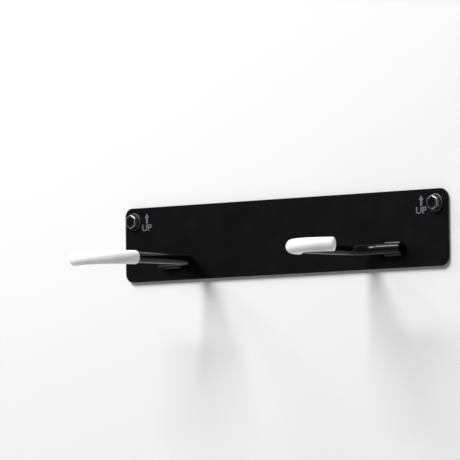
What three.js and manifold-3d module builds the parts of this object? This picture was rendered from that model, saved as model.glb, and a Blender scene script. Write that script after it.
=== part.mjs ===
// Bicycle wall rack: a flat steel plate, screwed to two wall studs, that carries two sleeved hooks.
// Millimetres. +X runs along the plate, +Y goes into the wall, +Z is up.
// The origin is the middle of the plate's back face, where it meets the wall.

import * as THREE from 'three';
import * as BufferGeometryUtils from 'three/addons/utils/BufferGeometryUtils.js';
import Module from 'manifold-3d';

// Driving dimensions of the plate and where things sit on it.
const STUD_SPACING = 406.4;
const PLATE_END_MARGIN = 13.3;
const PLATE_HEIGHT = 76;
const PLATE_THICKNESS = 3.2;
const PLATE_CORNER_RADIUS = 9;
const PLATE_EDGE_BREAK = 0.5;
const SCREW_BELOW_TOP_EDGE = 14;

// Driving dimensions of the hooks, which are mirror images of each other.
const HOOK_SPACING = 220;
const HOOK_ABOVE_BOTTOM_EDGE = 19;
const HOOK_REACH = 129;
const HOOK_LEG_LENGTH = 53;
const HOOK_LEG_BEND_RADIUS = 24;
const HOOK_ARM_BEND_RADIUS = 36;
const HOOK_ARM_RETURN = THREE.MathUtils.degToRad(30);
const HOOK_TIP_LENGTH = 10.4;
const ROD_DIAMETER = 11;

// Driving dimensions of the soft sleeve on each arm.
const SLEEVE_WALL = 1.1;
const SLEEVE_END_WALL = 1.7;
const SLEEVE_START_IN_BEND = THREE.MathUtils.degToRad(6.7);

// Driving dimensions of the weld beads that hold each hook's leg to the plate.
const WELD_TOE_BEYOND_ROD = 1.6;
const WELD_ROOT_ANGLE = THREE.MathUtils.degToRad(32);
const WELD_TOP_ANGLE = THREE.MathUtils.degToRad(68);
const WELD_END_INSET = 3;

// Driving dimensions of the lag screws and washers.
const SCREW_SHANK_DIAMETER = 7.9;
const SCREW_LENGTH = 63.5;
const SCREW_POINT_LENGTH = 9;
const SCREW_HEAD_FLATS = 12.7;
const SCREW_HEAD_HEIGHT = 5.2;
const SCREW_HEAD_CHAMFER = 0.4;
const WASHER_DIAMETER = 17.5;
const WASHER_THICKNESS = 1.6;

// Clearances that every piece keeps to its neighbour.
const FACE_GAP = 0.3;
const SLEEVE_GAP = 0.35;
const SCREW_HOLE_CLEARANCE = 1;
const WASHER_BORE_CLEARANCE = 0.8;

// How finely round shapes are cut into flats.
const ROD_SIDES = 24;
const SWEEP_STEP = 4;
const ROUND_SIDES = 24;
const CORNER_SEGMENTS = 8;

// Places that follow from the sizes above.
const plateLength = STUD_SPACING + 2 * PLATE_END_MARGIN;
const plateFace = -PLATE_THICKNESS;
const screwHeight = PLATE_HEIGHT / 2 - SCREW_BELOW_TOP_EDGE;
const hookHeight = -PLATE_HEIGHT / 2 + HOOK_ABOVE_BOTTOM_EDGE;
const rodRadius = ROD_DIAMETER / 2;
const legAxis = plateFace - FACE_GAP - rodRadius;
const armAxis = plateFace - HOOK_REACH;
const barX = HOOK_SPACING / 2;
const legBendX = barX + HOOK_LEG_BEND_RADIUS;
const armBendX = barX + HOOK_ARM_BEND_RADIUS;
const legEndX = barX + HOOK_LEG_LENGTH;
const weldLength = HOOK_LEG_LENGTH - HOOK_LEG_BEND_RADIUS - 2 * WELD_END_INSET;
const screwHoleRadius = (SCREW_SHANK_DIAMETER + SCREW_HOLE_CLEARANCE) / 2;
const washerBoreRadius = (SCREW_SHANK_DIAMETER + WASHER_BORE_CLEARANCE) / 2;
const washerBack = plateFace - FACE_GAP;
const headBack = washerBack - WASHER_THICKNESS - FACE_GAP;
const SIDES = { left: -1, right: 1 };

const steel = (name) => new THREE.MeshStandardMaterial({
  name, color: 0x17171a, roughness: 0.45, metalness: 0.2,
});
const plateCoat = steel('plate_powder_coat');
const rodCoat = steel('rod_gloss_coat');
const blackZinc = new THREE.MeshStandardMaterial({
  name: 'black_zinc', color: 0x1d1d20, roughness: 0.3, metalness: 0.8,
});
const whiteVinyl = new THREE.MeshStandardMaterial({
  name: 'white_vinyl', color: 0xe6e6e6, roughness: 0.5, metalness: 0,
});

const wasm = await Module();
wasm.setup();

function toSolid(geometry) {
  const bare = geometry.index ? geometry.toNonIndexed() : geometry.clone();
  bare.deleteAttribute('normal');
  bare.deleteAttribute('uv');
  const merged = BufferGeometryUtils.mergeVertices(bare, 1e-4);
  return new wasm.Manifold(new wasm.Mesh({
    numProp: 3,
    vertProperties: Float32Array.from(merged.attributes.position.array),
    triVerts: Uint32Array.from(merged.index.array),
  }));
}

function toGeometry(solid) {
  const mesh = solid.getMesh();
  const geometry = new THREE.BufferGeometry();
  geometry.setAttribute('position', new THREE.BufferAttribute(mesh.vertProperties, 3));
  geometry.setIndex(new THREE.BufferAttribute(mesh.triVerts, 1));
  const flat = geometry.toNonIndexed();
  flat.computeVertexNormals();
  return flat;
}

function named(name, geometry, material) {
  const mesh = new THREE.Mesh(geometry, material);
  mesh.name = name;
  return mesh;
}

// A bend in a level plane, from one angle to another about a centre.
class Bend extends THREE.Curve {
  constructor(centreX, centreY, radius, startAngle, endAngle) {
    super();
    Object.assign(this, { centreX, centreY, radius, startAngle, endAngle });
  }

  getPoint(t, target = new THREE.Vector3()) {
    const angle = THREE.MathUtils.lerp(this.startAngle, this.endAngle, t);
    return target.set(
      this.centreX + this.radius * Math.cos(angle),
      this.centreY + this.radius * Math.sin(angle),
      hookHeight,
    );
  }
}

// The rod's centre line on the right-hand hook: along the leg, out along the bar, round the bend
// and back toward the wall along the tip.
const level = (x, y) => new THREE.Vector3(x, y, hookHeight);
const legBendY = legAxis - HOOK_LEG_BEND_RADIUS;
const armBendY = armAxis + HOOK_ARM_BEND_RADIUS;
const armEndAngle = 3 * Math.PI / 2 + HOOK_ARM_RETURN;
const legLine = () => new THREE.LineCurve3(level(legEndX, legAxis), level(legBendX, legAxis));
const legBend = () => new Bend(legBendX, legBendY, HOOK_LEG_BEND_RADIUS, Math.PI / 2, Math.PI);
const barLine = (startY) => new THREE.LineCurve3(level(barX, startY), level(barX, armBendY));
const armBend = (startAngle = Math.PI) => (
  new Bend(armBendX, armBendY, HOOK_ARM_BEND_RADIUS, startAngle, armEndAngle)
);
const tipLine = (length) => {
  const start = armBend().getPoint(1);
  const heading = level(-Math.sin(armEndAngle), Math.cos(armEndAngle)).setZ(0);
  return new THREE.LineCurve3(start, start.clone().addScaledVector(heading, length));
};

function sweep(radius, curves) {
  const path = new THREE.CurvePath();
  curves.forEach((curve) => path.add(curve));
  const section = new THREE.Shape();
  section.absarc(0, 0, radius, 0, 2 * Math.PI);
  return new THREE.ExtrudeGeometry(section, {
    extrudePath: path,
    steps: Math.ceil(path.getLength() / SWEEP_STEP),
    curveSegments: ROD_SIDES / 2,
    bevelEnabled: false,
  });
}

// The left-hand hook is the right-hand one mirrored, with its faces turned to point out again.
function onSide(geometry, side) {
  const placed = geometry.index ? geometry.toNonIndexed() : geometry.clone();
  if (side > 0) return placed;
  placed.scale(-1, 1, 1);
  const corners = placed.attributes.position;
  for (let i = 0; i < corners.count; i += 3) {
    const first = new THREE.Vector3().fromBufferAttribute(corners, i);
    const last = new THREE.Vector3().fromBufferAttribute(corners, i + 2);
    corners.setXYZ(i, last.x, last.y, last.z);
    corners.setXYZ(i + 2, first.x, first.y, first.z);
  }
  placed.computeVertexNormals();
  return placed;
}

function wallPlate() {
  const halfLength = plateLength / 2;
  const halfHeight = PLATE_HEIGHT / 2;
  const cornerX = halfLength - PLATE_CORNER_RADIUS;
  const cornerZ = halfHeight - PLATE_CORNER_RADIUS;
  const outline = new THREE.Shape();
  outline.absarc(cornerX, -cornerZ, PLATE_CORNER_RADIUS, -Math.PI / 2, 0);
  outline.absarc(cornerX, cornerZ, PLATE_CORNER_RADIUS, 0, Math.PI / 2);
  outline.absarc(-cornerX, cornerZ, PLATE_CORNER_RADIUS, Math.PI / 2, Math.PI);
  outline.absarc(-cornerX, -cornerZ, PLATE_CORNER_RADIUS, Math.PI, 3 * Math.PI / 2);
  Object.values(SIDES).forEach((side) => {
    const hole = new THREE.Path();
    hole.absarc(side * STUD_SPACING / 2, screwHeight, screwHoleRadius, 0, 2 * Math.PI, true);
    outline.holes.push(hole);
  });
  const geometry = new THREE.ExtrudeGeometry(outline, {
    depth: PLATE_THICKNESS - 2 * PLATE_EDGE_BREAK,
    bevelThickness: PLATE_EDGE_BREAK,
    bevelSize: PLATE_EDGE_BREAK,
    bevelOffset: -PLATE_EDGE_BREAK,
    bevelSegments: 1,
    curveSegments: CORNER_SEGMENTS,
  });
  const mesh = named('wall_plate', geometry, plateCoat);
  mesh.rotation.x = Math.PI / 2;
  mesh.position.y = -PLATE_EDGE_BREAK;
  return mesh;
}

function hookRod(name, side) {
  const rod = sweep(
    rodRadius,
    [legLine(), legBend(), barLine(legBendY), armBend(), tipLine(HOOK_TIP_LENGTH)],
  );
  return named(`${name}_hook_rod`, onSide(rod, side), rodCoat);
}

function hookSleeve(name, side) {
  const boreRadius = rodRadius + SLEEVE_GAP;
  const boreTip = HOOK_TIP_LENGTH + SLEEVE_GAP;
  const outside = sweep(
    boreRadius + SLEEVE_WALL,
    [armBend(Math.PI + SLEEVE_START_IN_BEND), tipLine(boreTip + SLEEVE_END_WALL)],
  );
  const bore = sweep(boreRadius, [barLine(armBendY + SWEEP_STEP), armBend(), tipLine(boreTip)]);
  const sleeve = toGeometry(toSolid(outside).subtract(toSolid(bore)));
  return named(`${name}_hook_sleeve`, onSide(sleeve, side), whiteVinyl);
}

// A fillet bead in the groove between the leg and the plate. The section is drawn with x as the
// distance from the leg's centre line and y as the distance out from the plate's face.
function weldBead(name, side, edge, direction) {
  const seatRadius = rodRadius + FACE_GAP;
  const axisOut = FACE_GAP + rodRadius;
  const onRod = (angle) => [seatRadius * Math.sin(angle), axisOut - seatRadius * Math.cos(angle)];
  const [rootAcross] = onRod(WELD_ROOT_ANGLE);
  const [topAcross, topOut] = onRod(WELD_TOP_ANGLE);
  const toeAcross = rodRadius + WELD_TOE_BEYOND_ROD;
  const section = new THREE.Shape();
  section.moveTo(rootAcross, FACE_GAP);
  section.lineTo(toeAcross, FACE_GAP);
  section.quadraticCurveTo(toeAcross, topOut / 2, topAcross, topOut);
  section.absarc(
    0, axisOut, seatRadius,
    WELD_TOP_ANGLE - Math.PI / 2, WELD_ROOT_ANGLE - Math.PI / 2, true,
  );
  const bead = new THREE.ExtrudeGeometry(section, {
    depth: weldLength, curveSegments: CORNER_SEGMENTS, bevelEnabled: false,
  });
  // Section x becomes up or down, section y becomes out from the plate, depth runs along X.
  const startX = legBendX + WELD_END_INSET;
  const place = new THREE.Matrix4().makeBasis(
    new THREE.Vector3(0, 0, direction),
    new THREE.Vector3(0, -1, 0),
    new THREE.Vector3(1, 0, 0),
  ).setPosition(startX, plateFace, hookHeight);
  bead.applyMatrix4(place);
  const turned = place.determinant() < 0 ? flipped(bead) : bead;
  return named(`${name}_${edge}_weld`, onSide(turned, side), rodCoat);
}

function flipped(geometry) {
  const mirrored = geometry.index ? geometry.toNonIndexed() : geometry.clone();
  mirrored.scale(-1, 1, 1);
  return onSide(mirrored, -1);
}

function washer(name, side) {
  const inner = washerBoreRadius;
  const outer = WASHER_DIAMETER / 2;
  const section = [
    new THREE.Vector2(inner, 0),
    new THREE.Vector2(outer, 0),
    new THREE.Vector2(outer, WASHER_THICKNESS),
    new THREE.Vector2(inner, WASHER_THICKNESS),
    new THREE.Vector2(inner, 0),
  ];
  const mesh = named(`${name}_washer`, new THREE.LatheGeometry(section, ROUND_SIDES), blackZinc);
  mesh.rotation.x = Math.PI;
  mesh.position.set(side * STUD_SPACING / 2, washerBack, screwHeight);
  return mesh;
}

// The screw is drawn standing on its head's bearing face, with the shank going up +Y into the wall.
function lagScrew(name, side) {
  const shankRadius = SCREW_SHANK_DIAMETER / 2;
  const headRadius = SCREW_HEAD_FLATS / 2 / Math.cos(Math.PI / 6);
  const hexagon = new THREE.CylinderGeometry(headRadius, headRadius, SCREW_HEAD_HEIGHT, 6);
  hexagon.translate(0, -SCREW_HEAD_HEIGHT / 2, 0);
  const turned = new THREE.LatheGeometry([
    new THREE.Vector2(0, -SCREW_HEAD_HEIGHT - FACE_GAP),
    new THREE.Vector2(headRadius - 2 * SCREW_HEAD_CHAMFER, -SCREW_HEAD_HEIGHT - FACE_GAP),
    new THREE.Vector2(headRadius, -SCREW_HEAD_HEIGHT + SCREW_HEAD_CHAMFER),
    new THREE.Vector2(headRadius, FACE_GAP),
    new THREE.Vector2(0, FACE_GAP),
  ], ROUND_SIDES);
  const shank = new THREE.LatheGeometry([
    new THREE.Vector2(0, -SCREW_HEAD_HEIGHT / 2),
    new THREE.Vector2(shankRadius, -SCREW_HEAD_HEIGHT / 2),
    new THREE.Vector2(shankRadius, SCREW_LENGTH - SCREW_POINT_LENGTH),
    new THREE.Vector2(0, SCREW_LENGTH),
  ], ROUND_SIDES);
  const solid = toSolid(hexagon).intersect(toSolid(turned)).add(toSolid(shank));
  const mesh = named(`${name}_lag_screw`, toGeometry(solid), blackZinc);
  mesh.position.set(side * STUD_SPACING / 2, headBack, screwHeight);
  return mesh;
}

function hookSide(name, side) {
  const group = new THREE.Group();
  group.add(
    hookRod(name, side),
    weldBead(name, side, 'upper', 1),
    weldBead(name, side, 'lower', -1),
    hookSleeve(name, side),
    washer(name, side),
    lagScrew(name, side),
  );
  return group;
}

const rack = new THREE.Group();
rack.add(wallPlate());
Object.entries(SIDES).forEach(([name, side]) => rack.add(hookSide(name, side)));

export default rack;
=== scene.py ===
import math

import bmesh
import bpy
from mathutils import Matrix, Vector


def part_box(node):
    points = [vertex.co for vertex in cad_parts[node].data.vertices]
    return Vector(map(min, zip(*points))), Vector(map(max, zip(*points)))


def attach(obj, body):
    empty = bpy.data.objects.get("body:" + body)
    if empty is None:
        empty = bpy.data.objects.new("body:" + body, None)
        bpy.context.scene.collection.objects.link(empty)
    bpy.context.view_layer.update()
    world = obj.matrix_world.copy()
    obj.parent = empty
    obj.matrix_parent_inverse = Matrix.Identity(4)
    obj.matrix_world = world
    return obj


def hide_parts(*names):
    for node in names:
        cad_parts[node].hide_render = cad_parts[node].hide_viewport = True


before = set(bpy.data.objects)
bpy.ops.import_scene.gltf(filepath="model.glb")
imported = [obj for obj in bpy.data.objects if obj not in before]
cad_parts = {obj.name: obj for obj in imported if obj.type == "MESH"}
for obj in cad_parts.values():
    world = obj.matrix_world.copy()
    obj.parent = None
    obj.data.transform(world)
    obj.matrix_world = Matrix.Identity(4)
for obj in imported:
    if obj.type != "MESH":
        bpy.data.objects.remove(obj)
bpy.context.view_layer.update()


# ---- Wall plate ----
# A strip of hot-rolled steel, 3.2 mm thick, sheared to length with its corners rounded and one
# screw hole punched at each upper end. The edges are tumbled soft before the black powder coat.

plate_low, plate_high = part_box("wall_plate")
plate_front = plate_low.y
plate_size = plate_high - plate_low
plate_corner = 0.009
corner_steps = 14
plate_edge = 0.0006
edge_steps = 4
screw_hole = 0.0089
hole_sides = 56
screw_centres = [
    (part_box(f"{side}_washer")[0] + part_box(f"{side}_washer")[1]) / 2 for side in ("left", "right")
]


def lay_in(name, bm, material, slot, *nodes):
    """Makes the mesh a piece of the rack, in place of the plain nodes that it refines."""
    bmesh.ops.recalc_face_normals(bm, faces=bm.faces[:])
    if bm.calc_volume(signed=True) < 0:
        bmesh.ops.reverse_faces(bm, faces=bm.faces[:])
    mesh = bpy.data.meshes.new(name)
    bm.to_mesh(mesh)
    bm.free()
    mesh.materials.append(material)
    piece = bpy.data.objects.new(name, mesh)
    bpy.context.scene.collection.objects.link(piece)
    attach(piece, "root")
    if nodes:
        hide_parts(*nodes)
    return piece


def soften(bm, crease=40, flats=()):
    """Shades the mesh smooth, apart from sharp creases and the borders of its flat faces."""
    for face in bm.faces:
        face.smooth = True
    for edge in bm.edges:
        if len(edge.link_faces) == 2:
            on_flats = sum(face in flats for face in edge.link_faces)
            edge.smooth = on_flats != 1 and edge.calc_face_angle(0) < math.radians(crease)


bm = bmesh.new()
stood_up = Matrix.Rotation(math.pi / 2, 4, "X")
bmesh.ops.create_grid(
    bm, x_segments=1, y_segments=1, size=0.5,
    matrix=Matrix.Translation((0, plate_high.y, 0)) @ stood_up
    @ Matrix.Diagonal((plate_size.x, plate_size.z, 1, 1)),
)
bmesh.ops.bevel(
    bm, geom=bm.verts[:], offset=plate_corner, segments=corner_steps, profile=0.5,
    affect="VERTICES", material=-1,
)
bmesh.ops.delete(bm, geom=bm.faces[:], context="FACES_ONLY")
for centre in screw_centres:
    bmesh.ops.create_circle(
        bm, segments=hole_sides, radius=screw_hole / 2,
        matrix=Matrix.Translation((centre.x, plate_high.y, centre.z)) @ stood_up,
    )
bmesh.ops.triangle_fill(bm, use_beauty=True, edges=bm.edges[:], normal=(0, 1, 0))
raised = bmesh.ops.extrude_face_region(bm, geom=bm.faces[:], use_keep_orig=True)["geom"]
bmesh.ops.translate(
    bm, verts=[item for item in raised if isinstance(item, bmesh.types.BMVert)],
    vec=(0, -plate_size.y, 0),
)
bmesh.ops.recalc_face_normals(bm, faces=bm.faces[:])
rims = [edge for edge in bm.edges if edge.calc_face_angle(0) > math.radians(60)]
bmesh.ops.bevel(
    bm, geom=rims, offset=plate_edge, segments=edge_steps, profile=0.5,
    affect="EDGES", material=-1, loop_slide=False, clamp_overlap=False,
)
bm.normal_update()
soften(bm, flats={face for face in bm.faces if abs(face.normal.y) > 0.9999})


def coat(name, dark, light, roughness, sheen, grain, grain_depth):
    """A sprayed black finish: a fine grain in the surface, and gloss and shade that drift slightly."""
    material = bpy.data.materials.new(name)
    material.use_nodes = True
    nodes, links = material.node_tree.nodes, material.node_tree.links
    shader = nodes["Principled BSDF"]
    shader.inputs["Specular IOR Level"].default_value = sheen
    place = nodes.new("ShaderNodeTexCoord")

    def cloud(scale, detail, rough=0.5):
        noise = nodes.new("ShaderNodeTexNoise")
        noise.inputs["Scale"].default_value = scale
        noise.inputs["Detail"].default_value = detail
        noise.inputs["Roughness"].default_value = rough
        links.new(place.outputs["Object"], noise.inputs["Vector"])
        return noise.outputs["Fac"]

    def spread(value, low, high):
        stretch = nodes.new("ShaderNodeMapRange")
        stretch.inputs["From Min"].default_value = 0.3
        stretch.inputs["From Max"].default_value = 0.7
        stretch.inputs["To Min"].default_value = low
        stretch.inputs["To Max"].default_value = high
        links.new(value, stretch.inputs["Value"])
        return stretch.outputs["Result"]

    shade = nodes.new("ShaderNodeMix")
    shade.data_type = "RGBA"
    shade.inputs[6].default_value = (*dark, 1)
    shade.inputs[7].default_value = (*light, 1)
    links.new(spread(cloud(22, 5), 0, 1), shade.inputs[0])
    links.new(shade.outputs[2], shader.inputs["Base Color"])
    links.new(spread(cloud(60, 6, 0.65), roughness - 0.05, roughness + 0.06), shader.inputs["Roughness"])
    bump = nodes.new("ShaderNodeBump")
    bump.inputs["Strength"].default_value = 0.6
    bump.inputs["Distance"].default_value = grain_depth
    links.new(cloud(grain, 3, 0.6), bump.inputs["Height"])
    links.new(bump.outputs["Normal"], shader.inputs["Normal"])
    return material


plate_coat = coat(
    "plate powder coat", (0.0016, 0.0016, 0.002), (0.0032, 0.003, 0.0034), 0.46, 0.08, 1400, 0.00003,
)
lay_in("wall_plate_coated", bm, plate_coat, "plate_coat", "wall_plate")


# ---- Printed orientation marks ----
# An arrow with the word UP under it, pad-printed in blue-grey ink inboard of each screw, so that
# whoever hangs the rack puts the hooks at the bottom edge.

mark_inboard_of_screw = {"left": 0.0172, "right": 0.0191}
arrow_tip_below_edge = 0.0058
arrow_height = 0.0104
arrow_head_height = 0.0046
arrow_head_width = 0.0058
arrow_shaft_width = 0.0026
word_below_edge = 0.0172
word_height = 0.0068
word_width = 0.0136
ink_thickness = 0.00006

ink = bpy.data.materials.new("printed ink")
ink.use_nodes = True
ink_shader = ink.node_tree.nodes["Principled BSDF"]
ink_shader.inputs["Roughness"].default_value = 0.6
ink_wear = ink.node_tree.nodes.new("ShaderNodeTexNoise")
ink_wear.inputs["Scale"].default_value = 900
ink_wear.inputs["Detail"].default_value = 4
ink_place = ink.node_tree.nodes.new("ShaderNodeTexCoord")
ink_tone = ink.node_tree.nodes.new("ShaderNodeValToRGB")
ink_tone.color_ramp.elements[0].position = 0.35
ink_tone.color_ramp.elements[0].color = (0.062, 0.069, 0.084, 1)
ink_tone.color_ramp.elements[1].position = 0.6
ink_tone.color_ramp.elements[1].color = (0.12, 0.133, 0.155, 1)
ink.node_tree.links.new(ink_place.outputs["Object"], ink_wear.inputs["Vector"])
ink.node_tree.links.new(ink_wear.outputs["Fac"], ink_tone.inputs["Fac"])
ink.node_tree.links.new(ink_tone.outputs["Color"], ink_shader.inputs["Base Color"])


def print_arrow(bm, centre_x, top):
    """A solid arrow, drawn flat and then given the thickness of the ink."""
    shoulder = top - arrow_head_height
    outline = [
        (0, top), (arrow_head_width / 2, shoulder), (arrow_shaft_width / 2, shoulder),
        (arrow_shaft_width / 2, top - arrow_height), (-arrow_shaft_width / 2, top - arrow_height),
        (-arrow_shaft_width / 2, shoulder), (-arrow_head_width / 2, shoulder),
    ]
    corners = [bm.verts.new((centre_x + x, plate_front, z)) for x, z in outline]
    face = bm.faces.new(corners)
    lifted = bmesh.ops.extrude_face_region(bm, geom=[face], use_keep_orig=True)["geom"]
    verts = [item for item in lifted if isinstance(item, bmesh.types.BMVert)]
    bmesh.ops.translate(bm, verts=verts, vec=(0, -ink_thickness, 0))


def print_word(bm, centre_x, top):
    """The word as flat lettering, stretched to its printed size and stood up on the plate."""
    lettering = bpy.data.curves.new("up lettering", "FONT")
    lettering.body = "UP"
    lettering.extrude = 0.5
    lettering.resolution_u = 6
    lettering.offset = 0.02
    drawn = bpy.data.objects.new("up lettering", lettering)
    bpy.context.scene.collection.objects.link(drawn)
    bpy.context.view_layer.update()
    mesh = bpy.data.meshes.new_from_object(drawn)
    bpy.data.objects.remove(drawn)
    xs = [vert.co.x for vert in mesh.vertices]
    ys = [vert.co.y for vert in mesh.vertices]
    place = Matrix.Translation((centre_x, plate_front - ink_thickness / 2, top - word_height))
    place @= Matrix.Rotation(math.pi / 2, 4, "X")
    place @= Matrix.Diagonal((
        word_width / (max(xs) - min(xs)), word_height / (max(ys) - min(ys)), ink_thickness, 1,
    ))
    place @= Matrix.Translation((-(min(xs) + max(xs)) / 2, -min(ys), 0))
    mesh.transform(place)
    bm.from_mesh(mesh)


for side, centre in zip(("left", "right"), screw_centres):
    bm = bmesh.new()
    mark_x = centre.x - math.copysign(mark_inboard_of_screw[side], centre.x)
    print_arrow(bm, mark_x, plate_high.z - arrow_tip_below_edge)
    print_word(bm, mark_x, plate_high.z - word_below_edge)
    bmesh.ops.remove_doubles(bm, verts=bm.verts[:], dist=1e-6)
    bmesh.ops.recalc_face_normals(bm, faces=bm.faces[:])
    lay_in(f"{side}_up_mark", bm, ink, "print_grey")


# ---- Hook rods ----
# Each hook is one length of 11 mm round bar, bent twice on formers into a level hook: the leg lies
# on the plate, the bar stands out, and the arm turns outboard and a little back toward the wall.

rod_radius = 0.0055
leg_bend_radius = 0.024
arm_bend_radius = 0.036
arm_return = math.radians(30)
tip_length = 0.0104
leg_beyond_weld = 0.003
rod_sides = 64
ring_spacing = 0.0012
burr = 0.0005
burr_steps = 4
end_margin = 0.0005


def hook_places(side, out):
    """Where a hook's leg ends, and the middles of the two formers that the rod is bent round."""
    rod_low, rod_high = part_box(f"{side}_hook_rod")
    weld_low, weld_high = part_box(f"{side}_upper_weld")
    level = (rod_low.z + rod_high.z) / 2
    bar_x = (rod_low.x if out > 0 else rod_high.x) + out * rod_radius
    leg_x = (weld_high.x if out > 0 else weld_low.x) + out * leg_beyond_weld
    leg_y = plate_front - rod_radius
    arm_y = rod_low.y + rod_radius
    leg_former = Vector((bar_x + out * leg_bend_radius, leg_y - leg_bend_radius, level))
    arm_former = Vector((bar_x + out * arm_bend_radius, arm_y + arm_bend_radius, level))
    return Vector((leg_x, leg_y, level)), leg_former, arm_former


def start_ring(bm, centre, along, radius):
    """A ring of edges across the rod, facing along it."""
    turn = Vector((0, 0, 1)).rotation_difference(Vector(along)).to_matrix().to_4x4()
    made = set(bmesh.ops.create_circle(
        bm, segments=rod_sides, radius=radius, matrix=Matrix.Translation(centre) @ turn,
    )["verts"])
    return [edge for edge in bm.edges if made.issuperset(edge.verts)]


def run_straight(bm, ring, move, spacing=ring_spacing):
    """Draws the ring out in a straight line and returns the ring at the far end."""
    steps = max(1, round(move.length / spacing))
    for _ in range(steps):
        made = bmesh.ops.extrude_edge_only(bm, edges=ring)["geom"]
        verts = [item for item in made if isinstance(item, bmesh.types.BMVert)]
        bmesh.ops.translate(bm, verts=verts, vec=move / steps)
        far = set(verts)
        ring = [item for item in made if isinstance(item, bmesh.types.BMEdge) and far.issuperset(item.verts)]
    return ring


def run_bend(bm, ring, former, angle):
    """Wraps the ring round a level former and returns the ring at the far end."""
    verts = list(dict.fromkeys(vert for edge in ring for vert in edge.verts))
    middle = sum((vert.co for vert in verts), Vector()) / len(verts)
    made = bmesh.ops.spin(
        bm, geom=verts + ring, cent=former, axis=(0, 0, 1), dvec=(0, 0, 0), angle=angle,
        steps=round(abs(angle) * (middle - former).length / ring_spacing), use_duplicate=False,
    )["geom_last"]
    return [item for item in made if isinstance(item, bmesh.types.BMEdge)]


def cap(bm, ring, round_over, segments):
    """Closes the ring with a flat end, rounds its rim and keeps the middle of the end flat."""
    middle = sum((edge.verts[0].co for edge in ring), Vector()) / len(ring)
    bmesh.ops.contextual_create(bm, geom=ring)
    bmesh.ops.bevel(
        bm, geom=ring, offset=round_over, segments=segments, profile=0.5,
        affect="EDGES", material=-1, clamp_overlap=True,
    )
    ends = [face for face in bm.faces if len(face.verts) == rod_sides]
    end = min(ends, key=lambda face: (face.calc_center_median() - middle).length)
    bmesh.ops.inset_individual(bm, faces=[end], thickness=end_margin, use_even_offset=True)


rod_coat = coat("rod gloss coat", (0.0016, 0.0016, 0.002), (0.0034, 0.0034, 0.0038), 0.2, 0.22, 900, 0.00002)

for side, out in (("left", -1), ("right", 1)):
    leg_end, leg_former, arm_former = hook_places(side, out)
    tip_heading = Vector((out * math.cos(arm_return), math.sin(arm_return), 0))
    bm = bmesh.new()
    sawn = start_ring(bm, leg_end, (-out, 0, 0), rod_radius)
    ring = run_straight(bm, sawn, Vector((leg_former.x - leg_end.x, 0, 0)))
    ring = run_bend(bm, ring, leg_former, out * math.pi / 2)
    ring = run_straight(bm, ring, Vector((0, arm_former.y - leg_former.y, 0)))
    ring = run_bend(bm, ring, arm_former, out * (math.pi / 2 + arm_return))
    ring = run_straight(bm, ring, tip_heading * tip_length)
    cap(bm, ring, burr, burr_steps)
    cap(bm, sawn, burr, burr_steps)
    bmesh.ops.remove_doubles(bm, verts=bm.verts[:], dist=1e-6)
    bmesh.ops.recalc_face_normals(bm, faces=bm.faces[:])
    soften(bm)
    lay_in(f"{side}_hook_rod_bent", bm, rod_coat, "rod_coat", f"{side}_hook_rod")


# ---- Weld beads ----
# A short fillet bead runs along the leg above it and another below, laid down in overlapping
# puddles that leave a ripple, and coated over with the rest of the frame.

bead_radius = 0.0024
bead_across = 0.0049
bead_out = 0.0016
ripple_pitch = 0.0017
ripple_depth = 0.00014
bead_rings = 150
bead_sides = 28
bead_end_radius = 0.0001
puddle_curve = 0.6
taper_power = 9

weld_coat = coat(
    "weld under coat", (0.0016, 0.0016, 0.002), (0.0034, 0.0034, 0.0038), 0.3, 0.4, 1200, 0.00003,
)

for side in ("left", "right"):
    for edge, up in (("upper", 1), ("lower", -1)):
        bead_low, bead_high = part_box(f"{side}_{edge}_weld")
        rod_low, rod_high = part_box(f"{side}_hook_rod")
        bead_length = bead_high.x - bead_low.x
        bm = bmesh.new()
        bmesh.ops.create_cone(
            bm, cap_ends=True, segments=bead_sides, radius1=1, radius2=1, depth=1,
            matrix=Matrix.Rotation(math.pi / 2, 4, "Y"),
        )
        lengthways = [item for item in bm.edges if abs(item.verts[0].co.x - item.verts[1].co.x) > 0.5]
        bmesh.ops.subdivide_edges(bm, edges=lengthways, cuts=bead_rings, use_grid_fill=True)
        for vert in bm.verts:
            share = vert.co.x * 2
            crescent = share * bead_length / 2 + puddle_curve * bead_radius * vert.co.y ** 2
            ripple = abs(math.sin(math.pi * crescent / ripple_pitch)) - 0.6
            taper = max(0.0, 1 - abs(share) ** taper_power) ** 0.5
            radius = (bead_radius + ripple_depth * ripple) * taper + bead_end_radius
            vert.co = Vector((
                (bead_low.x + bead_high.x) / 2 + share * bead_length / 2,
                plate_front - bead_out + vert.co.y * radius,
                (rod_low.z + rod_high.z) / 2 + up * bead_across + vert.co.z * radius,
            ))
        bmesh.ops.recalc_face_normals(bm, faces=bm.faces[:])
        soften(bm, 70)
        lay_in(f"{side}_{edge}_weld_bead", bm, weld_coat, "weld_coat", f"{side}_{edge}_weld")


# ---- Sleeves ----
# A soft white vinyl tube is warmed and pushed over each arm and round its bend. Its free end is
# moulded shut with a rounded edge, and the open end stops where the bend begins, with a rounded lip.

sleeve_bore = 0.0056
sleeve_start_in_bend = math.radians(6.7)
sleeve_beyond_rod = 0.00205
sleeve_end_wall = 0.0018
sleeve_end_round = 0.0022
sleeve_end_steps = 8
sleeve_spacing = 0.003
lip_steps = 4
lip_share_of_wall = 0.49

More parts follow.
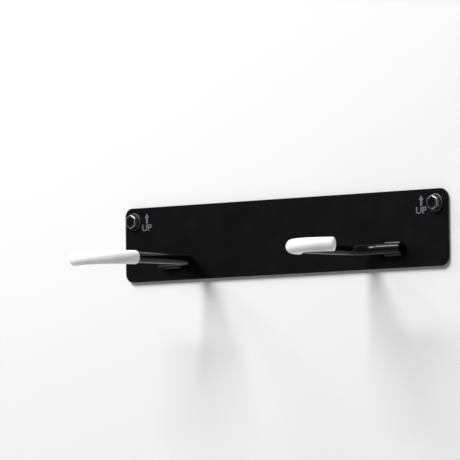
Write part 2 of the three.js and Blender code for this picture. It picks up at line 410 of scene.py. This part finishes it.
vinyl = bpy.data.materials.new("white vinyl")
vinyl.use_nodes = True
vinyl_nodes, vinyl_links = vinyl.node_tree.nodes, vinyl.node_tree.links
vinyl_shader = vinyl_nodes["Principled BSDF"]
vinyl_shader.inputs["Subsurface Weight"].default_value = 0.12
vinyl_shader.inputs["Subsurface Radius"].default_value = (1.0, 0.9, 0.8)
vinyl_shader.inputs["Subsurface Scale"].default_value = 0.0015
vinyl_place = vinyl_nodes.new("ShaderNodeTexCoord")
scuffs = vinyl_nodes.new("ShaderNodeTexNoise")
scuffs.inputs["Scale"].default_value = 55
scuffs.inputs["Detail"].default_value = 8
scuffs.inputs["Roughness"].default_value = 0.6
vinyl_tone = vinyl_nodes.new("ShaderNodeValToRGB")
vinyl_tone.color_ramp.elements[0].position = 0.3
vinyl_tone.color_ramp.elements[0].color = (0.76, 0.76, 0.76, 1)
vinyl_tone.color_ramp.elements[1].position = 0.55
vinyl_tone.color_ramp.elements[1].color = (0.85, 0.85, 0.845, 1)
vinyl_gloss = vinyl_nodes.new("ShaderNodeMapRange")
vinyl_gloss.inputs["To Min"].default_value = 0.36
vinyl_gloss.inputs["To Max"].default_value = 0.5
vinyl_skin = vinyl_nodes.new("ShaderNodeTexNoise")
vinyl_skin.inputs["Scale"].default_value = 700
vinyl_skin.inputs["Detail"].default_value = 3
skin_bump = vinyl_nodes.new("ShaderNodeBump")
skin_bump.inputs["Strength"].default_value = 0.5
skin_bump.inputs["Distance"].default_value = 0.00004
for texture in (scuffs, vinyl_skin):
    vinyl_links.new(vinyl_place.outputs["Object"], texture.inputs["Vector"])
vinyl_links.new(scuffs.outputs["Fac"], vinyl_tone.inputs["Fac"])
vinyl_links.new(scuffs.outputs["Fac"], vinyl_gloss.inputs["Value"])
vinyl_links.new(vinyl_tone.outputs["Color"], vinyl_shader.inputs["Base Color"])
vinyl_links.new(vinyl_gloss.outputs["Result"], vinyl_shader.inputs["Roughness"])
vinyl_links.new(vinyl_skin.outputs["Fac"], skin_bump.inputs["Height"])
vinyl_links.new(skin_bump.outputs["Normal"], vinyl_shader.inputs["Normal"])

for side, out in (("left", -1), ("right", 1)):
    low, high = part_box(f"{side}_hook_sleeve")
    sleeve_radius = (high.z - low.z) / 2
    wall = sleeve_radius - sleeve_bore
    arm_former = hook_places(side, out)[2]
    tip_heading = Vector((out * math.cos(arm_return), math.sin(arm_return), 0))
    across, along = math.cos(sleeve_start_in_bend), math.sin(sleeve_start_in_bend)
    mouth = arm_former - Vector((out * across, along, 0)) * arm_bend_radius
    mouth_heading = Vector((out * along, -across, 0))
    swing = out * (math.pi / 2 + arm_return - sleeve_start_in_bend)
    tip = tip_length + sleeve_beyond_rod
    bm = bmesh.new()
    bore_lip = start_ring(bm, mouth, mouth_heading, sleeve_bore)
    bore_end = run_bend(bm, bore_lip, arm_former, swing)
    bore_end = run_straight(bm, bore_end, tip_heading * (tip - sleeve_end_wall), sleeve_spacing)
    bmesh.ops.contextual_create(bm, geom=bore_end)
    bmesh.ops.reverse_faces(bm, faces=bm.faces[:])
    outer_lip = start_ring(bm, mouth, mouth_heading, sleeve_radius)
    outer_end = run_bend(bm, outer_lip, arm_former, swing)
    outer_end = run_straight(bm, outer_end, tip_heading * tip, sleeve_spacing)
    cap(bm, outer_end, sleeve_end_round, sleeve_end_steps)
    bmesh.ops.bridge_loops(bm, edges=outer_lip + bore_lip)
    bmesh.ops.recalc_face_normals(bm, faces=bm.faces[:])
    bmesh.ops.bevel(
        bm, geom=outer_lip + bore_lip, offset=wall * lip_share_of_wall, segments=lip_steps,
        profile=0.5, affect="EDGES", material=-1, clamp_overlap=True,
    )
    bmesh.ops.remove_doubles(bm, verts=bm.verts[:], dist=1e-6)
    bmesh.ops.recalc_face_normals(bm, faces=bm.faces[:])
    soften(bm, 50)
    lay_in(f"{side}_hook_sleeve_fitted", bm, vinyl, "sleeve_vinyl", f"{side}_hook_sleeve")


# ---- Washers ----
# A stamped flat washer sits under each screw head. Its outer edge is rolled over on the front by
# the punch, and it is finished in black zinc.

washer_roll = 0.0004
washer_bore_radius = 0.00435
washer_sides = 72
fit_gap = 0.0003
washer_margin = 0.0005


def black_metal(name, dark, edge_wear_and_highlight_colour, roughness):
    """Blackened steel: dark and half glossy, with its raised edges painted lighter, partly as black rubbed
    thin and partly as a painted highlight.
    """
    material = bpy.data.materials.new(name)
    material.use_nodes = True
    nodes, links = material.node_tree.nodes, material.node_tree.links
    shader = nodes["Principled BSDF"]
    shader.inputs["Metallic"].default_value = 0.75
    place = nodes.new("ShaderNodeTexCoord")
    shape = nodes.new("ShaderNodeNewGeometry")
    blotch = nodes.new("ShaderNodeTexNoise")
    blotch.inputs["Scale"].default_value = 420
    blotch.inputs["Detail"].default_value = 5
    links.new(place.outputs["Object"], blotch.inputs["Vector"])
    # The raised edges, found by pointiness, are painted lighter: partly black rubbed thin, partly a painted
    # highlight.
    edge_wear_and_highlight = nodes.new("ShaderNodeMapRange")
    edge_wear_and_highlight.inputs["From Min"].default_value = 0.505
    edge_wear_and_highlight.inputs["From Max"].default_value = 0.545
    links.new(shape.outputs["Pointiness"], edge_wear_and_highlight.inputs["Value"])
    patchy_wear_and_highlight = nodes.new("ShaderNodeMath")
    patchy_wear_and_highlight.operation = "MULTIPLY"
    links.new(edge_wear_and_highlight.outputs["Result"], patchy_wear_and_highlight.inputs[0])
    links.new(blotch.outputs["Fac"], patchy_wear_and_highlight.inputs[1])
    shade = nodes.new("ShaderNodeMix")
    shade.data_type = "RGBA"
    shade.inputs[6].default_value = (*dark, 1)
    shade.inputs[7].default_value = (*edge_wear_and_highlight_colour, 1)
    links.new(patchy_wear_and_highlight.outputs[0], shade.inputs[0])
    links.new(shade.outputs[2], shader.inputs["Base Color"])
    gloss = nodes.new("ShaderNodeMapRange")
    gloss.inputs["To Min"].default_value = roughness - 0.07
    gloss.inputs["To Max"].default_value = roughness + 0.1
    links.new(blotch.outputs["Fac"], gloss.inputs["Value"])
    links.new(gloss.outputs["Result"], shader.inputs["Roughness"])
    bump = nodes.new("ShaderNodeBump")
    bump.inputs["Strength"].default_value = 0.4
    bump.inputs["Distance"].default_value = 0.00003
    links.new(blotch.outputs["Fac"], bump.inputs["Height"])
    links.new(bump.outputs["Normal"], shader.inputs["Normal"])
    return material


def turn_round(bm, outline, centre, steps):
    """Spins an outline of (distance from the axis, distance along +Y) about an axis along Y."""
    verts = [bm.verts.new((centre.x + r, centre.y + y, centre.z)) for r, y in outline]
    edges = [bm.edges.new(pair) for pair in zip(verts, verts[1:])]
    bmesh.ops.spin(
        bm, geom=verts + edges, cent=centre, axis=(0, 1, 0), dvec=(0, 0, 0),
        angle=2 * math.pi, steps=steps, use_merge=True, use_duplicate=False,
    )
    bmesh.ops.remove_doubles(bm, verts=bm.verts[:], dist=1e-7)
    bmesh.ops.recalc_face_normals(bm, faces=bm.faces[:])


# The pale edge colour paints a highlight on the washer's rims, as well as black rubbed thin there.
washer_black = black_metal("washer black zinc", (0.007, 0.007, 0.008), (0.3, 0.3, 0.31), 0.34)

for side in ("left", "right"):
    low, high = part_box(f"{side}_washer")
    outer = (high.z - low.z) / 2
    inner = washer_bore_radius
    front, back = low.y + fit_gap, plate_front
    roll = washer_roll
    outline = [
        (inner, back), (outer - roll / 2, back), (outer, back - roll / 2), (outer, front + roll),
        (outer - roll * 0.3, front + roll * 0.3), (outer - roll, front),
        (outer - roll - washer_margin, front), (inner + roll / 2 + washer_margin, front),
        (inner + roll / 2, front), (inner, front + roll / 2), (inner, back),
    ]
    bm = bmesh.new()
    turn_round(bm, outline, Vector(((low.x + high.x) / 2, 0, (low.z + high.z) / 2)), washer_sides)
    soften(bm, 35)
    lay_in(f"{side}_washer_stamped", bm, washer_black, "washer_black", f"{side}_washer")


# ---- Lag screws ----
# Two 8 mm hex-head lag screws, cold-headed with the corners of the hexagon just turned off, hold the
# plate to the studs. A third of each shank is plain and the rest carries a coarse thread to its point.
# They are skinned ring by ring, because the rubbed edges and painted highlights follow the spacing of the
# rings.

head_flats = 0.0127
head_height = 0.0052
head_chamfer = 0.0004
head_edge = 0.0004
flat_margin = 0.0004
sharpest = 0.00001
shank_radius = 0.00395
root_radius = 0.0029
thread_pitch = 0.0036
thread_half_width = 0.0011
thread_crest = 0.0001
point_bluntness = 0.8
thread_runout = 0.0015
plain_length = 0.022
shank_in_head = 0.001
thread_start_gap = 0.0002
point_length = 0.009
thread_sides = 32
rings_per_turn = 18

# The near-white edge colour paints highlights on the head's edges, as well as black rubbed thin there.
screw_black = black_metal("screw black oxide", (0.006, 0.006, 0.007), (0.95, 0.95, 0.95), 0.3)


def join(bm, one, other):
    """Skins between two loops of the same count, either of which may be a single point."""
    sides = max(len(one), len(other))
    for i in range(sides):
        j = (i + 1) % sides
        corners = (one[i % len(one)], one[j % len(one)], other[j % len(other)], other[i % len(other)])
        bm.faces.new(list(dict.fromkeys(corners)))


def hexagon_outline(inset):
    """The head's outline as (x, z) points, with a corner up, just rounded, and drawn in."""
    radius = max(head_edge - inset, sharpest)
    reach = (head_flats / 2 - inset - radius) / math.cos(math.pi / 6)
    points = []
    for corner in range(6):
        middle = math.pi / 2 + corner * math.pi / 3
        turns = [middle + (step / edge_steps - 0.5) * math.pi / 3 for step in range(edge_steps + 1)]
        arc = [
            (reach * math.cos(middle) + radius * math.cos(a), reach * math.sin(middle) + radius * math.sin(a))
            for a in turns
        ]
        for (x, z), a, along in ((arc[0], turns[0], -1), (arc[-1], turns[-1], 1)):
            beside = (x - along * flat_margin * math.sin(a), z + along * flat_margin * math.cos(a))
            arc.insert(0 if along < 0 else len(arc), beside)
        points += arc
    return points


def hexagon_head(bm, centre, seat):
    """The head, flat at the back and rolled over at the front, with its front corners taken off."""
    turns = [step / edge_steps * math.pi / 2 for step in range(edge_steps + 1)]
    rolls = [(head_edge * (1 - math.sin(a)), head_edge * (1 - math.cos(a))) for a in turns]
    stations = [(0, head_height), (0, head_edge + flat_margin), *reversed(rolls)]
    stations.append((head_edge + flat_margin, 0))
    widest = head_flats / 2 / math.cos(math.pi / 6)
    last = [bm.verts.new((centre.x, seat, centre.z))]
    for inset, depth in stations:
        ring = []
        for x, z in hexagon_outline(inset):
            shrink = min(1, (widest - 2 * head_chamfer + 2 * depth) / math.hypot(x, z))
            ring.append(bm.verts.new((
                centre.x + x * shrink, seat - head_height + depth, centre.z + z * shrink,
            )))
        join(bm, last, ring)
        last = ring
    join(bm, last, [bm.verts.new((centre.x, seat - head_height, centre.z))])


def thread_reach(depth, length, turn):
    """How far the shank's surface stands from its axis at a depth below the head and a turn round."""
    into = depth - plain_length
    if into < 0:
        return shank_radius
    across = ((into / thread_pitch + turn / (2 * math.pi)) % 1 - 0.5) * thread_pitch
    ridge = max(0.0, 1 - max(0.0, abs(across) - thread_crest) / thread_half_width)
    core = shank_radius + (root_radius - shank_radius) * min(1.0, into / thread_runout)
    reach = max(core, root_radius + (shank_radius - root_radius) * ridge)
    past = (depth - (length - point_length)) / point_length
    return reach if past < 0 else reach * max(0.02, 1 - past) ** point_bluntness


for side in ("left", "right"):
    low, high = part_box(f"{side}_lag_screw")
    centre = Vector(((low.x + high.x) / 2, 0, (low.z + high.z) / 2))
    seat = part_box(f"{side}_washer")[0].y + fit_gap
    length = high.y - seat
    turned = int((length - plain_length) / thread_pitch * rings_per_turn)
    depths = [-shank_in_head, plain_length - thread_start_gap]
    depths += [plain_length + (length - plain_length) * i / turned for i in range(turned)]
    bm = bmesh.new()
    hexagon_head(bm, centre, seat)
    last = [bm.verts.new((centre.x, seat - shank_in_head, centre.z))]
    for depth in depths:
        ring = []
        for i in range(thread_sides):
            turn = 2 * math.pi * i / thread_sides
            reach = thread_reach(depth, length, turn)
            ring.append(bm.verts.new((
                centre.x + reach * math.cos(turn), seat + depth, centre.z + reach * math.sin(turn),
            )))
        join(bm, last, ring)
        last = ring
    join(bm, last, [bm.verts.new((centre.x, high.y, centre.z))])
    soften(bm, 32)
    lay_in(f"{side}_lag_screw_turned", bm, screw_black, "screw_black", f"{side}_lag_screw")


# ---- Studio ----
# The rack hangs on a plain pale wall over a plain pale floor, under a large soft light from above
# and a weaker one at the left, and is seen through a long lens from the right, slightly below.

wall_behind = plate_high.y + 0.0012
floor_height = -2.4
stage_width = 16
wall_top = 2.5
floor_tone = 0.6
wall_tone = 0.74
sky_strength = 0.15


def pale_sheet(name, place, width, depth, tone):
    """A stage sheet that is seen and casts shadows from its front only."""
    bm = bmesh.new()
    bmesh.ops.create_grid(
        bm, x_segments=1, y_segments=1, size=0.5, matrix=place @ Matrix.Diagonal((width, depth, 1, 1)),
    )
    mesh = bpy.data.meshes.new(name)
    bm.to_mesh(mesh)
    bm.free()
    sheet = bpy.data.objects.new(name, mesh)
    bpy.context.scene.collection.objects.link(sheet)
    material = bpy.data.materials.new(name)
    material.use_nodes = True
    nodes, links = material.node_tree.nodes, material.node_tree.links
    paint = nodes["Principled BSDF"]
    paint.inputs["Base Color"].default_value = (tone, tone, tone, 1)
    paint.inputs["Roughness"].default_value = 0.9
    clear = nodes.new("ShaderNodeBsdfTransparent")
    which = nodes.new("ShaderNodeNewGeometry")
    either = nodes.new("ShaderNodeMixShader")
    links.new(which.outputs["Backfacing"], either.inputs["Fac"])
    links.new(paint.outputs["BSDF"], either.inputs[1])
    links.new(clear.outputs["BSDF"], either.inputs[2])
    links.new(either.outputs["Shader"], nodes["Material Output"].inputs["Surface"])
    mesh.materials.append(material)


pale_sheet("floor", Matrix.Translation((0, 0, floor_height)), stage_width, stage_width, floor_tone)
wall_middle = Matrix.Translation((0, wall_behind, (floor_height + wall_top) / 2))
pale_sheet("wall", wall_middle @ stood_up, stage_width, wall_top - floor_height, wall_tone)

sky = bpy.data.worlds.new("pale studio")
sky.use_nodes = True
sky.node_tree.nodes["Background"].inputs["Color"].default_value = (1, 1, 1, 1)
sky.node_tree.nodes["Background"].inputs["Strength"].default_value = sky_strength
bpy.context.scene.world = sky
bpy.context.scene.view_settings.view_transform = "Standard"


def soft_light(name, at, toward, size, power):
    lamp = bpy.data.lights.new(name, "AREA")
    lamp.shape = "SQUARE"
    lamp.size = size
    lamp.energy = power
    holder = bpy.data.objects.new(name, lamp)
    bpy.context.scene.collection.objects.link(holder)
    holder.location = at
    holder.rotation_euler = (Vector(toward) - Vector(at)).to_track_quat("-Z", "Y").to_euler()


soft_light("key softbox", (-0.8, -3.0, 2.9), (0, 0, 0), 1.8, 232)
soft_light("side strip", (-2.0, -1.05, 1.95), (0, 0, 0), 0.9, 34)
soft_light("back fill", (0.8, 2.2, 1.4), (0, 0, 0), 1.5, 8)

azimuth = math.radians(41.954)
elevation = math.radians(-3.129)
roll = math.radians(0.664)
distance = 5.6469
aim_aside = -0.05422
aim_up = 0.00721
focal_length = 440.62
back = Vector((
    math.sin(azimuth) * math.cos(elevation), -math.cos(azimuth) * math.cos(elevation), math.sin(elevation),
))
across = Vector((math.cos(azimuth), math.sin(azimuth), 0))
upward = back.cross(across)
stand = back * distance
toward = across * aim_aside + upward * aim_up
sight = (toward - stand).normalized()
level_right = sight.cross(Vector((0, 0, 1))).normalized()
level_up = level_right.cross(sight)
right = level_right * math.cos(roll) - level_up * math.sin(roll)
up = level_right * math.sin(roll) + level_up * math.cos(roll)
lens = bpy.data.cameras.new("camera")
lens.lens = focal_length
lens.sensor_width = 36
lens.clip_end = 60
camera = bpy.data.objects.new("camera", lens)
bpy.context.scene.collection.objects.link(camera)
camera.matrix_world = Matrix.Translation(stand) @ Matrix((right, up, -sight)).transposed().to_4x4()
bpy.context.scene.camera = camera
